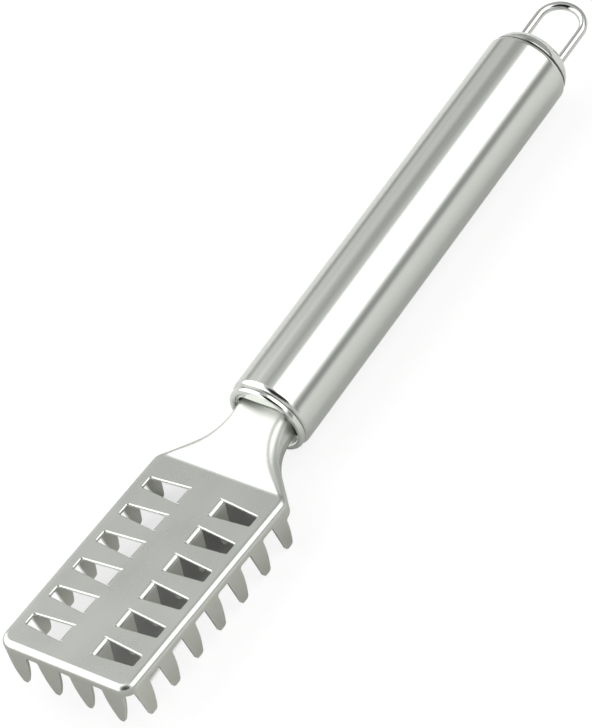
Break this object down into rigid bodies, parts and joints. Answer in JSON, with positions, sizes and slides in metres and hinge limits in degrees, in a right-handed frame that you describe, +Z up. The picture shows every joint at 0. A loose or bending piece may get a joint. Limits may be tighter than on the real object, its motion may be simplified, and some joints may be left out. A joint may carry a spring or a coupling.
{
  "type": "fish scaler",
  "caption": "Stainless steel fish scaler with a toothed skirt, rows of lanced teeth, a round tube handle and a wire hanging loop.",
  "frame": {"origin": "on the table, in the middle of the object's length and width, as it lies at rest", "axes": "+Y along the handle from the head to the hanging loop, +X to the right of the head seen from the handle's front, +Z up"},
  "size_m": [0.0362, 0.208, 0.02],
  "materials": {
    "head_steel": "satin",
    "handle_steel": "satin",
    "collar_steel": "polished",
    "cap_steel": "satin",
    "loop_steel": "polished"
  },
  "bodies": {
    "root": {"scaler_head": "head_steel", "handle_tube": "handle_steel", "front_collar": "collar_steel", "rear_cap": "cap_steel", "hanging_loop": "loop_steel"}
  },
  "joints": []
}
